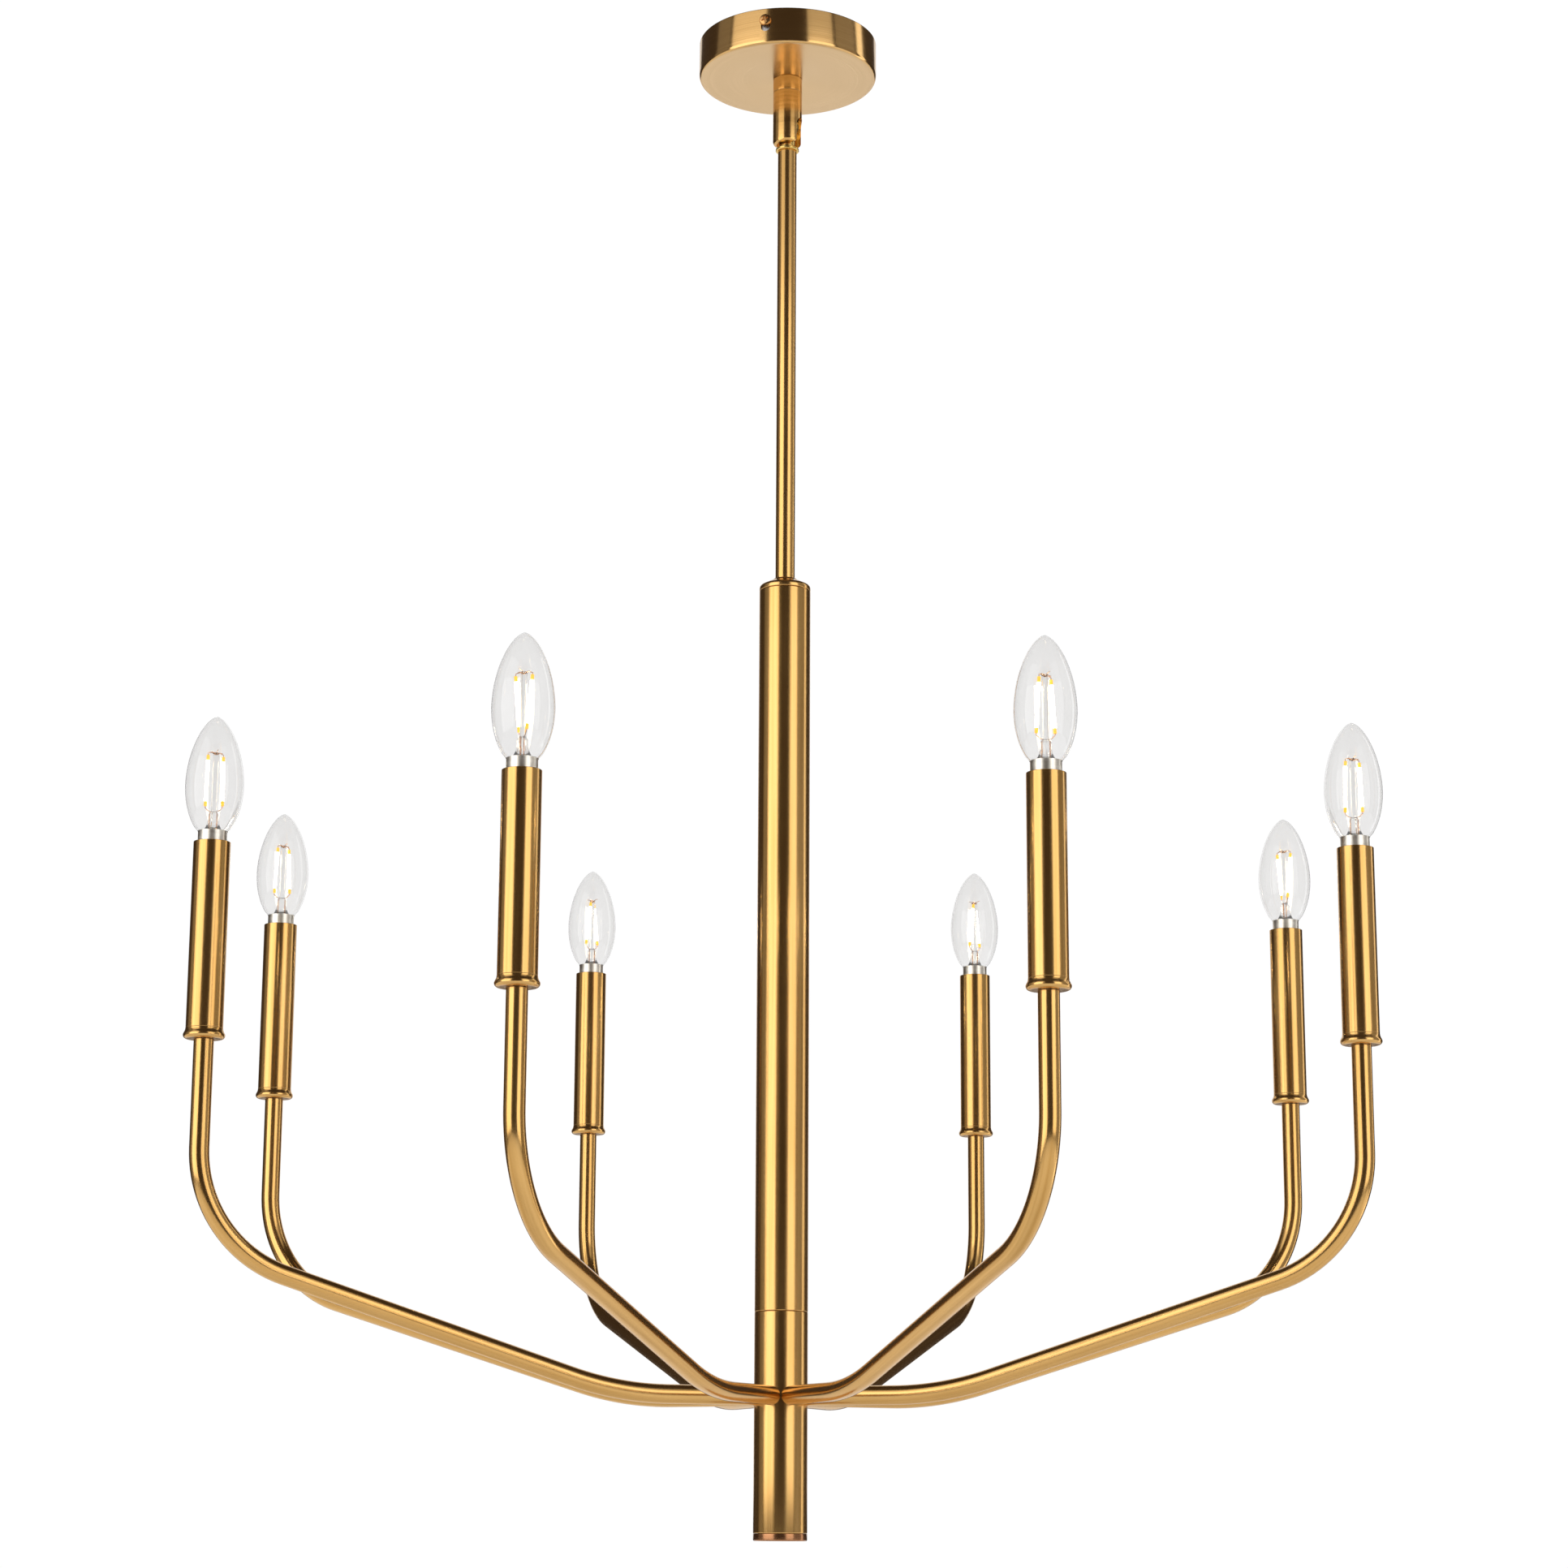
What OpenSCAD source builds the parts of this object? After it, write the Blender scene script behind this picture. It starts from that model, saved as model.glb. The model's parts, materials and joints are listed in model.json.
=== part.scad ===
// Eight-arm candle chandelier in satin brass. A strap screwed to the ceiling box carries the canopy.
// A ball swivel under the canopy carries the stem, the column and eight bent arms.
// Millimetres. +Z is up and z = 0 is the ceiling. The origin is the middle of the strap's upper face.

/* [Canopy] */
// Diameter of the canopy
canopy_d = 120; // [112:1:180]
// Height of the canopy
canopy_h = 25; // [24:0.5:45]
// Thickness of the canopy's sheet
canopy_wall = 1.2; // [0.8:0.1:1.6]
// Radius of the canopy's lower edge
canopy_edge_r = 2; // [2:0.5:6]

/* [Ceiling strap] */
// Width of the strap
strap_w = 18; // [14:1:24]
// Thickness of the strap
strap_t = 2; // [1.5:0.1:3]
// Middle-to-middle distance of the two slots for the box screws
slot_spacing = 79.4; // [72:0.1:84]
// Length of each slot, end to end
slot_l = 14.5; // [6:0.5:18]
// Width of each slot
slot_w = 5; // [4:0.1:6]

/* [Swivel] */
// Diameter of the collar and socket
swivel_d = 19.6; // [19.2:0.1:30]
// Height of the collar
collar_h = 10; // [9:0.5:16]
// Height of the socket
socket_h = 37.5; // [33:0.5:50]
// Diameter of the ball
ball_d = 15; // [13:0.1:15.2]
// Diameter of the neck under the ball
neck_d = 10.6; // [9:0.1:11]

/* [Stem] */
// Diameter of the stem rod
rod_d = 12.7; // [12:0.1:16]
// Visible length of the stem rod
rod_l = 300; // [120:5:900]

/* [Column] */
// Diameter of the column
column_d = 33.5; // [33.4:0.1:45]
// Length of the column, from its foot to the rim of its cap
column_h = 610; // [400:1:900]
// Wall of the column tube
column_wall = 2; // [1.5:0.1:3]
// Length of the lower length, which the arms enter
hub_h = 140; // [120:1:200]
// Height of the arms' roots above the column's foot
arm_h = 88; // [60:1:100]
// Height of the ring that shows at the column's foot
foot_h = 4.6; // [3:0.1:12]

/* [Arms] */
// Diameter of the arms
arm_d = 12; // [11:0.1:12.7]
// Wall of the arms
arm_wall = 1.2; // [0.8:0.1:1.6]
// Distance of each candle from the stem's axis
arm_reach = 372.5; // [300:0.5:460]
// Height of the cups above the arms' roots
cup_rise = 202; // [165:1:250]
// Straight upright length below each cup
upright_l = 64.4; // [40:0.2:90]
// Where each arm's lower bend begins, from the stem's axis
root_run = 75.2; // [50:0.2:90]
// Radius of the lower bend
lower_bend_r = 216; // [120:1:240]
// Radius of the upper bend
upper_bend_r = 76.4; // [50:0.2:90]
// How far the arms stand turned round from the strap
stem_turn = 14.4; // [-180:0.1:180]

/* [Candles] */
// Diameter of the candle sleeves
sleeve_d = 22.2; // [22:0.1:28]
// Length of the candle sleeves
sleeve_l = 113; // [95:1:135]
// Wall of the candle sleeves
sleeve_wall = 0.9; // [0.6:0.1:1]
// How far the bead round each cup stands proud of the sleeve
bead_proud = 1.4; // [1:0.1:4]
// Height of each cup, from its underside to the sleeve
cup_h = 6.4; // [5.5:0.1:9]
// How far each lamp's base stands out of its sleeve
lamp_rise = 6.6; // [4:0.1:12]

/* [Lamps] */
// Diameter of the bulbs
bulb_d = 35.2; // [30:0.1:38]
// Length of the glass above the base
bulb_l = 71; // [60:1:85]
// Thickness of the glass
glass_t = 0.8; // [0.6:0.1:1.2]

/* [Hidden] */
$fn = 96;
eps = 0.01;

// Finishes
satin_brass = "#C39A48";
copper_tone = "#B4714A";
zinc = "#B9BCC0";
nickel = "#CFCBC2";
holder_white = "#ECE8DC";
cable_clear = "#D9D2BE";

// Clearances
thread_gap = 0.05;
fit_gap = 0.05;
running_gap = 0.05;

// Canopy and strap
canopy_r = canopy_d / 2;
canopy_in_r = canopy_r - canopy_wall;
ear_h = 17;
ear_gap = 0.15;
ear_y = sqrt(canopy_in_r * canopy_in_r - strap_w * strap_w / 4) - ear_gap;
side_screw_r = 2;
side_head_r = 4;
side_head_h = 2.6;
side_screw_l = 9;
side_screw_z = -8.5;
side_slot_w = 6.4;
side_slot_top = -5;
side_slot_low = -16;

// Nipple, washer and nut
nipple_r = 5;
nipple_bore_r = 3.6;
nipple_in_collar = 8;
washer_r = 11;
washer_t = 1;
nut_flats = 14;
nut_h = 4;
canopy_floor = canopy_wall - canopy_h;
nipple_over = 2.8;
nipple_top = canopy_floor + washer_t + nut_h + nipple_over;

// Supply leads and their connectors
cable_r = 2.25;
lead_r = 0.9;
lead_out = 1.1;
lead_bend_r = 5;
lead_turns = [60, -60, 180];
lead_z = nipple_top + 1 + lead_bend_r;
connector_at = 22;
connector_l = 22;
connector_r = 5.5;
connector_tip_r = 3.6;
connector_hole_l = 12;

// Swivel, from the canopy down
swivel_r = swivel_d / 2;
ball_r = ball_d / 2;
neck_r = neck_d / 2;
collar_low = -canopy_h - collar_h;
socket_low = collar_low - socket_h;
chamber_gap = 0.1;
chamber_r = ball_r + chamber_gap;
collar_thread_r = chamber_r + 0.35;
collar_thread_l = 9;
flat_depth = 1;
flat_h = 8;
flat_turn = -35.6;
slot_gap = 0.4;
ball_up = 13.2;
ball_z = socket_low + ball_up;
slot_half = neck_r + slot_gap;
mouth_r = neck_r + 0.5;
mouth_low_r = neck_r + 1.9;
seat_drop = sqrt(pow(ball_r + running_gap, 2) - mouth_r * mouth_r);
socket_round = 2.2;
ball_bore_r = 3;
flange_gap = 2.2;
flange_h = 2.4;
flange_r = 7.85;
flange_top = socket_low - flange_gap;
flange_low = flange_top - flange_h;
neck_spigot_l = 14;
leads_end = ball_z + ball_r + 1;
harness_top = ball_z + ball_r - 1.2;

// Stem rod
rod_r = rod_d / 2;
rod_bore_r = 5;
rod_top = flange_low;
rod_low = rod_top - rod_l;

// Column, from the cap down
column_r = column_d / 2;
column_bore_r = column_r - column_wall;
dome_h = 6.2;
dome_top_r = rod_r + 1.3;
dome_shoulder_r = 2.6;
cap_rim_h = 2.2;
cap_spigot_l = 12;
cap_rim_top = rod_low - dome_h;
column_low = cap_rim_top - column_h;
tube_top = cap_rim_top - cap_rim_h;
tube_low = column_low + hub_h;
arm_z = column_low + arm_h;
hub_low = column_low + foot_h;
hub_wall = 3;
hub_bore_r = column_r - hub_wall;
core_half = 14;
core_bore_r = 11.5;
spigot_l = 12;
spigot_wall = 2.2;
foot_chamfer = 0.6;

// Arms: the rise angle makes the two bends and the straight between them meet
arm_r = arm_d / 2;
arm_bore_r = arm_r - arm_wall;
bend_start_z = cup_rise - upright_l;
across = arm_reach - root_run - upper_bend_r;
above = bend_start_z - lower_bend_r;
bend_step = lower_bend_r - upper_bend_r;
rise_angle = atan2(above, across) + asin(bend_step / sqrt(across * across + above * above));
slope_x = root_run + lower_bend_r * sin(rise_angle);
slope_z = lower_bend_r * (1 - cos(rise_angle));
slope_l = (bend_start_z - upper_bend_r * cos(rise_angle) - slope_z) / sin(rise_angle);
lap = 0.5;
lap_step = 0.02;
root_r = 4;
root_wire_r = 2.75;
arm_plug_l = 8;
arm_thread_r = 5;
arm_thread_l = 10;
arm_top_wire_r = 3.5;
branch_r = 2;
splice_r = 9;
splice_h = 16;

// Cups, holders and sleeves, above the cup's underside
cup_floor = 2.2;
cup_spigot_l = 4;
cup_spigot_wall = 1;
bead_round = 2.2;
flare_low = 3.6;
sleeve_r = sleeve_d / 2;
bead_r = sleeve_r + bead_proud;
sleeve_bore_r = sleeve_r - sleeve_wall;
sleeve_top = cup_h + sleeve_l;
cup_spigot_r = sleeve_bore_r - fit_gap;
cup_hollow_r = cup_spigot_r - cup_spigot_wall;
foot_r = cup_hollow_r - 0.3;
base_skirt_l = 14;
holder_gap = 2.2;
holder_top = sleeve_top + lamp_rise - base_skirt_l - holder_gap;
holder_head_r = sleeve_bore_r - 0.5;
holder_head_l = 39;
holder_neck_r = 7.5;
holder_neck_bore_r = 4.5;
shell_r = 6.7;
shell_wall = 0.55;
shell_l = 25;
contact_r = 2;

// Lamps, above the cup's underside
lamp_z = sleeve_top + lamp_rise;
base_r = 8.75;
base_wall = 0.35;
thread_r = 5.85;
thread_l = 18;
base_cone_l = 2;
tip_r = 2.4;
tip_insulator_l = 3;
lamp_tip = lamp_z - base_skirt_l - base_cone_l - thread_l - tip_insulator_l - 1;
bulb_r = bulb_d / 2;
glass_neck_r = base_r - base_wall - 0.05;
glass_foot_r = base_r + 0.35;
glass_neck_l = 6;
glass_steps = 28;
widest = 0.4;

// Points on an arc about (x, y), from angle a to angle b
function arc(x, y, r, a, b, steps = 8) = [
    for (i = [0:steps])
        let (t = a + (b - a) * i / steps) [x + r * cos(t), y + r * sin(t)]
];

// Radius of the bulb at a share of the glass's length: a quarter ellipse below the widest
// place, and a fuller one that comes to a blunt point above it
function bulb_radius(share, top_r, low_r) =
    share < widest
        ? low_r + (top_r - low_r) * pow(1 - pow(1 - share / widest, 2.1), 0.8)
        : top_r * pow(1 - pow((share - widest) / (1 - widest), 1.85), 0.63);

// The glass's outline, from its foot to its tip
function bulb_outline(length, top_r, low_r) = [
    for (i = [0:glass_steps])
        let (share = 1 - pow(1 - i / glass_steps, 1.6))
        [i == glass_steps ? 0 : bulb_radius(share, top_r, low_r), length * share]
];

// A pan-head screw with a cross recess, its head's underside at z = 0 and its shank below
module pan_screw(shank_r, shank_l, head_r, head_h) {
    difference() {
        rotate_extrude() {
            polygon(concat(
                [
                    [0, -shank_l], [shank_r - 0.4, -shank_l], [shank_r, -shank_l + 0.4],
                    [shank_r, 0], [head_r, 0]
                ],
                arc(head_r - 1.2, head_h - 1.6, 1.2, 0, 60, 6),
                [[0, head_h]]
            ));
        }
        for (turn = [0, 90])
            rotate([0, 0, turn])
                translate([-head_r * 0.58, -0.55, head_h - 1.5])
                    cube([head_r * 1.16, 1.1, 2]);
    }
}

// The route of an arm as a round bar, drawn outwards along +X from the arm's level. The straights
// are a hair thinner than the bends and lap into them, which makes the bar one solid.
module bent_run(r, from_x, upright_end) {
    translate([from_x, 0, 0])
        rotate([0, 90, 0])
            cylinder(r = r - lap_step, h = root_run - from_x + lap);
    translate([root_run, 0, lower_bend_r])
        rotate([90, 0, 0])
            rotate([0, 0, -90])
                rotate_extrude(angle = rise_angle)
                    translate([lower_bend_r, 0])
                        circle(r = r);
    translate([slope_x, 0, slope_z])
        rotate([0, 90 - rise_angle, 0])
            translate([0, 0, -lap])
                cylinder(r = r - lap_step, h = slope_l + 2 * lap);
    translate([arm_reach - upper_bend_r, 0, bend_start_z])
        rotate([90, 0, 0])
            rotate([0, 0, rise_angle - 90])
                rotate_extrude(angle = 90 - rise_angle)
                    translate([upper_bend_r, 0])
                        circle(r = r);
    translate([arm_reach, 0, bend_start_z - lap])
        cylinder(r = r - lap_step, h = upright_end - bend_start_z + lap);
}

// Turns its children to the arm of that number and sets them at the arms' level
module at_arm(number) {
    rotate([0, 0, stem_turn + 22.5 + 45 * (number - 1)])
        translate([0, 0, arm_z])
            children();
}

// Sets its children on the underside of the cup of that number
module at_cup(number) {
    at_arm(number)
        translate([arm_reach, 0, cup_rise])
            children();
}

// Strap across the ceiling box, with an ear bent down at each end for the canopy's screws
module ceiling_bracket() {
    color(zinc)
        difference() {
            union() {
                translate([-strap_w / 2, -ear_y, -strap_t])
                    cube([strap_w, 2 * ear_y, strap_t]);
                for (side = [-1, 1])
                    translate([-strap_w / 2, side > 0 ? ear_y - strap_t : -ear_y, -ear_h])
                        cube([strap_w, strap_t, ear_h]);
            }
            for (side = [-1, 1]) {
                for (end = [-1, 1])
                    translate([0, side * slot_spacing / 2 + end * (slot_l - slot_w) / 2, -strap_t - 1])
                        cylinder(d = slot_w, h = strap_t + 2);
                translate([-slot_w / 2, side * slot_spacing / 2 - (slot_l - slot_w) / 2, -strap_t - 1])
                    cube([slot_w, slot_l - slot_w, strap_t + 2]);
                translate([0, side * (ear_y + 1), side_screw_z])
                    rotate([side * 90, 0, 0])
                        cylinder(r = side_screw_r + thread_gap, h = strap_t + 2);
            }
        }
}

// Spun cup that hides the ceiling box, with a slot each side for a screw into the strap's ear
module canopy() {
    edge_in_r = canopy_edge_r - canopy_wall;
    color(satin_brass)
        difference() {
            rotate_extrude() {
                polygon(concat(
                    [[nipple_r + 0.2, -canopy_h]],
                    arc(canopy_r - canopy_edge_r, canopy_edge_r - canopy_h, canopy_edge_r, -90, 0),
                    [[canopy_r, 0], [canopy_in_r, 0]],
                    arc(canopy_r - canopy_edge_r, canopy_edge_r - canopy_h, edge_in_r, 0, -90),
                    [[nipple_r + 0.2, canopy_floor]]
                ));
            }
            for (turn = [0, 180])
                rotate([0, 0, turn])
                    translate([0, 1 - canopy_r + canopy_wall, 0])
                        rotate([90, 0, 0])
                            linear_extrude(canopy_wall + 2) {
                                for (z = [side_slot_top - side_slot_w / 2, side_slot_low + side_slot_w / 2])
                                    translate([0, z])
                                        circle(d = side_slot_w);
                                translate([-side_slot_w / 2, side_slot_low + side_slot_w / 2])
                                    square([side_slot_w, side_slot_top - side_slot_low - side_slot_w]);
                            }
        }
}

// Two machine screws through the canopy's rim
module canopy_side_screws() {
    color(satin_brass)
        for (turn = [0, 180])
            rotate([0, 0, turn])
                translate([0, -canopy_r - 0.02, side_screw_z])
                    rotate([90, 0, 0])
                        pan_screw(side_screw_r, side_screw_l, side_head_r, side_head_h);
}

// Hollow threaded tube that holds the swivel to the canopy
module canopy_nipple() {
    low = -canopy_h - nipple_in_collar;
    color(zinc)
        rotate_extrude()
            translate([nipple_bore_r, low])
                square([nipple_r - nipple_bore_r, nipple_top - low]);
}

// Plain washer on the canopy's floor
module nipple_washer() {
    color(zinc)
        translate([0, 0, canopy_floor])
            difference() {
                cylinder(r = washer_r, h = washer_t);
                translate([0, 0, -1])
                    cylinder(r = nipple_r + thread_gap, h = washer_t + 2);
            }
}

// Hexagon nut on the nipple
module nipple_locknut() {
    color(zinc)
        translate([0, 0, canopy_floor + washer_t])
            difference() {
                cylinder(d = nut_flats / cos(30), h = nut_h, $fn = 6);
                translate([0, 0, -1])
                    cylinder(r = nipple_r + thread_gap, h = nut_h + 2);
            }
}

// Cable up through the nipple, parting into three single leads
module supply_leads() {
    straight_l = connector_at + connector_hole_l - 1 - lead_out - lead_bend_r;
    color(cable_clear) {
        translate([0, 0, leads_end])
            cylinder(r = cable_r, h = nipple_top + 1 - leads_end);
        for (turn = lead_turns)
            rotate([0, 0, turn]) {
                translate([lead_out, 0, nipple_top])
                    cylinder(r = lead_r, h = 1, $fn = 48);
                translate([lead_out + lead_bend_r, 0, lead_z - lead_bend_r])
                    rotate([90, 0, 0])
                        rotate([0, 0, 90])
                            rotate_extrude(angle = 90)
                                translate([lead_bend_r, 0])
                                    circle(r = lead_r);
                translate([lead_out + lead_bend_r, 0, lead_z])
                    rotate([0, 90, 0])
                        cylinder(r = lead_r, h = straight_l, $fn = 48);
            }
    }
}

// Three twist-on connectors, where the house wiring is joined
module wire_connectors() {
    color("#D9772B")
        for (turn = lead_turns)
            rotate([0, 0, turn])
                translate([connector_at, 0, lead_z])
                    rotate([0, 90, 0])
                        difference() {
                            cylinder(r1 = connector_r, r2 = connector_tip_r, h = connector_l);
                            translate([0, 0, -1])
                                cylinder(r = lead_r + 0.02, h = connector_hole_l + 1, $fn = 48);
                        }
}

// Collar screwed on the nipple and into the socket, with two flats for a spanner
module swivel_collar() {
    color(satin_brass)
        difference() {
            union() {
                translate([0, 0, collar_low])
                    cylinder(r = swivel_r, h = collar_h);
                translate([0, 0, collar_low - collar_thread_l])
                    cylinder(r = collar_thread_r, h = collar_thread_l + 1);
            }
            translate([0, 0, -canopy_h - nipple_in_collar - 0.5])
                cylinder(r = nipple_r + thread_gap, h = nipple_in_collar + 1.5);
            translate([0, 0, collar_low - collar_thread_l - 1])
                cylinder(r = nipple_bore_r, h = collar_thread_l + collar_h + 1);
            for (turn = [0, 180])
                rotate([0, 0, flat_turn + turn])
                    translate([-swivel_r, -swivel_r - 1, -canopy_h - flat_h])
                        cube([2 * swivel_r, flat_depth + 1, flat_h + 1]);
        }
}

// Socket that carries the ball, with the side slot that lets the neck swing up
module swivel_socket() {
    color(satin_brass)
        difference() {
            rotate_extrude()
                polygon(concat(
                    [[0, socket_low], [swivel_r - socket_round, socket_low]],
                    arc(swivel_r - socket_round, socket_low + socket_round, socket_round, -90, 0),
                    [[swivel_r, collar_low], [0, collar_low]]
                ));
            translate([0, 0, collar_low - collar_thread_l - 1])
                cylinder(r = collar_thread_r + thread_gap, h = collar_thread_l + 2);
            translate([0, 0, ball_z])
                cylinder(r = chamber_r, h = collar_low - collar_thread_l - ball_z);
            translate([0, 0, ball_z])
                sphere(r = ball_r + running_gap);
            translate([0, 0, socket_low - 1])
                cylinder(r = mouth_r, h = ball_up + 1);
            translate([0, 0, socket_low - eps])
                cylinder(r1 = mouth_low_r, r2 = mouth_r, h = ball_up - seat_drop);
            translate([0, -slot_half, socket_low - 1])
                cube([swivel_r + 1, 2 * slot_half, ball_up + 1]);
            translate([0, 0, ball_z])
                rotate([0, 90, 0])
                    cylinder(r = slot_half, h = swivel_r + 1);
        }
}

// Ball, neck, flange and the spigot that goes into the rod, turned in one piece
module swivel_ball() {
    color(satin_brass)
        difference() {
            union() {
                translate([0, 0, ball_z])
                    sphere(r = ball_r);
                translate([0, 0, flange_top - eps])
                    cylinder(r = neck_r, h = ball_z - flange_top);
                translate([0, 0, flange_low])
                    rotate_extrude()
                        polygon([
                            [0, 0], [flange_r - 0.5, 0], [flange_r, 0.5], [flange_r, flange_h - 0.8],
                            [flange_r - 0.8, flange_h], [0, flange_h]
                        ]);
                translate([0, 0, flange_low - neck_spigot_l])
                    cylinder(r = rod_bore_r - running_gap, h = neck_spigot_l + 1);
            }
            translate([0, 0, flange_low - neck_spigot_l - 1])
                cylinder(r = ball_bore_r, h = ball_z + ball_r - flange_low + neck_spigot_l + 2);
        }
}

// Rod from the swivel down into the column cap
module stem_rod() {
    low = tube_top - cap_spigot_l;
    color(satin_brass)
        translate([0, 0, low])
            difference() {
                cylinder(r = rod_r, h = rod_top - running_gap - low);
                translate([0, 0, -1])
                    cylinder(r = rod_bore_r, h = rod_top - low + 2);
            }
}

// Domed cap that screws into the top of the column and holds the rod
module column_cap() {
    color(satin_brass)
        rotate_extrude()
            polygon(concat(
                [
                    [rod_r + thread_gap, tube_top - cap_spigot_l],
                    [column_bore_r - fit_gap, tube_top - cap_spigot_l],
                    [column_bore_r - fit_gap, tube_top],
                    [column_r, tube_top]
                ],
                arc(column_r - dome_shoulder_r, cap_rim_top - 0.4, dome_shoulder_r, 0, 60),
                [
                    [dome_top_r, rod_low - 0.4],
                    [dome_top_r - 0.4, rod_low],
                    [rod_r + thread_gap, rod_low]
                ]
            ));
}

// Upper length of the column
module column_tube() {
    color(satin_brass)
        rotate_extrude()
            translate([column_bore_r, tube_low])
                square([column_wall, tube_top - tube_low]);
}

// Lower length of the column, with a thick ring inside that takes the eight arm roots
module arm_hub() {
    spigot_r = column_bore_r - fit_gap;
    color(satin_brass)
        difference() {
            rotate_extrude()
                polygon([
                    [hub_bore_r, hub_low], [column_r, hub_low], [column_r, tube_low],
                    [spigot_r, tube_low], [spigot_r, tube_low + spigot_l],
                    [spigot_r - spigot_wall, tube_low + spigot_l],
                    [spigot_r - spigot_wall, arm_z + core_half],
                    [core_bore_r, arm_z + core_half], [core_bore_r, arm_z - core_half],
                    [hub_bore_r, arm_z - core_half]
                ]);
            for (number = [1:8])
                at_arm(number)
                    rotate([0, 90, 0])
                        cylinder(r = root_r + thread_gap, h = column_r + 1);
        }
}

// Cap screwed into the column's foot; its rim is the ring that shows
module bottom_cap() {
    plug_r = hub_bore_r - fit_gap;
    color(copper_tone)
        rotate_extrude()
            polygon([
                [0, column_low], [column_r - foot_chamfer, column_low],
                [column_r, column_low + foot_chamfer], [column_r, hub_low],
                [plug_r, hub_low], [plug_r, hub_low + spigot_l],
                [plug_r - spigot_wall, hub_low + spigot_l], [plug_r - spigot_wall, column_low + 2.5],
                [0, column_low + 2.5]
            ]);
}

// Cable down the stem to a joint in the hub, and a branch up each arm to its lamp holder
module stem_harness() {
    color(cable_clear) {
        translate([0, 0, arm_z])
            cylinder(r = cable_r, h = harness_top - arm_z);
        translate([0, 0, arm_z - splice_h / 2])
            cylinder(r = splice_r, h = splice_h);
        for (number = [1:8])
            at_arm(number)
                bent_run(branch_r, splice_r - 1, cup_rise + holder_top - holder_head_l - 2);
    }
}

// One arm: a bent tube coped to the column, with a threaded root and a threaded top
module arm(number) {
    color(satin_brass)
        at_arm(number)
            difference() {
                union() {
                    difference() {
                        bent_run(arm_r, column_r - 4, cup_rise);
                        translate([0, 0, -arm_d])
                            cylinder(r = column_r + fit_gap, h = 2 * arm_d);
                    }
                    translate([core_bore_r + 0.6, 0, 0])
                        rotate([0, 90, 0])
                            cylinder(r = root_r, h = column_r - core_bore_r + 4);
                    translate([arm_reach, 0, cup_rise - 1])
                        cylinder(r = arm_thread_r, h = cup_floor + arm_thread_l + 1);
                }
                bent_run(arm_bore_r, column_r + arm_plug_l, cup_rise - arm_plug_l);
                rotate([0, 90, 0])
                    cylinder(r = root_wire_r, h = column_r + arm_plug_l + 1);
                translate([arm_reach, 0, cup_rise - arm_plug_l - 1])
                    cylinder(r = arm_top_wire_r, h = cup_floor + arm_thread_l + arm_plug_l + 2);
            }
}

// One cup: turned, beaded at its foot, flared in to the sleeve that stands on it
module candle_cup(number) {
    flare_r = sleeve_r + 0.1;
    flare_w = bead_proud - 0.3;
    steps = 8;
    color(satin_brass)
        at_cup(number)
            rotate_extrude()
                polygon(concat(
                    [[arm_thread_r + thread_gap, 0]],
                    arc(bead_r - bead_round, bead_round, bead_round, -90, 20),
                    [for (share = [0:1 / steps:1])
                        [flare_r + flare_w * (1 - sin(90 * share)), flare_low + (cup_h - flare_low) * share]],
                    [
                        [cup_spigot_r, cup_h], [cup_spigot_r, cup_h + cup_spigot_l],
                        [cup_hollow_r, cup_h + cup_spigot_l], [cup_hollow_r, cup_floor],
                        [arm_thread_r + thread_gap, cup_floor]
                    ]
                ));
}

// One candle sleeve: a plain tube over the lamp holder
module candle_sleeve(number) {
    color(satin_brass)
        at_cup(number)
            rotate_extrude()
                translate([sleeve_bore_r, cup_h])
                    square([sleeve_wall, sleeve_l]);
}

// Eight insulating lamp holders, each screwed on an arm's threaded top
module lamp_holders() {
    well = holder_top - shell_l - 1;
    color(holder_white)
        for (number = [1:8])
            at_cup(number)
                rotate_extrude()
                    polygon([
                        [arm_thread_r + thread_gap, cup_floor], [foot_r, cup_floor],
                        [foot_r, cup_floor + arm_thread_l], [holder_neck_r, cup_floor + arm_thread_l + 1.5],
                        [holder_neck_r, holder_top - holder_head_l - 2],
                        [holder_head_r, holder_top - holder_head_l],
                        [holder_head_r, holder_top - 0.8], [holder_head_r - 0.8, holder_top],
                        [shell_r + fit_gap, holder_top], [shell_r + fit_gap, well],
                        [contact_r + fit_gap, well], [contact_r + fit_gap, well - 6],
                        [holder_neck_bore_r, well - 8], [holder_neck_bore_r, cup_floor + arm_thread_l],
                        [arm_thread_r + thread_gap, cup_floor + arm_thread_l]
                    ]);
}

// The brass screw shell and the centre contact inside each holder
module holder_shells() {
    well = holder_top - shell_l - 1;
    color("#D2A85A")
        for (number = [1:8])
            at_cup(number) {
                rotate_extrude()
                    polygon([
                        [shell_r, well], [shell_r, holder_top - 1], [shell_r - shell_wall, holder_top - 1],
                        [shell_r - shell_wall, well + shell_wall], [contact_r + 1.5, well + shell_wall],
                        [contact_r + 1.5, well]
                    ]);
                translate([0, 0, well - 5])
                    cylinder(r = contact_r, h = lamp_tip - fit_gap - well + 5);
            }
}

// One bulb: a blown glass shell, its neck set in the base
module bulb_glass(number) {
    in_top_r = bulb_r - glass_t;
    in_low_r = glass_neck_r - glass_t;
    in_l = bulb_l - glass_t;
    color("#DCE3E6", 0.35)
        at_cup(number)
            translate([0, 0, lamp_z])
                rotate_extrude()
                    polygon(concat(
                        [[in_low_r, -glass_neck_l], [glass_neck_r, -glass_neck_l], [glass_neck_r, 0]],
                        bulb_outline(bulb_l, bulb_r, glass_foot_r),
                        [for (i = [glass_steps:-1:0]) bulb_outline(in_l, in_top_r, in_low_r)[i]]
                    ));
}

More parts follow.
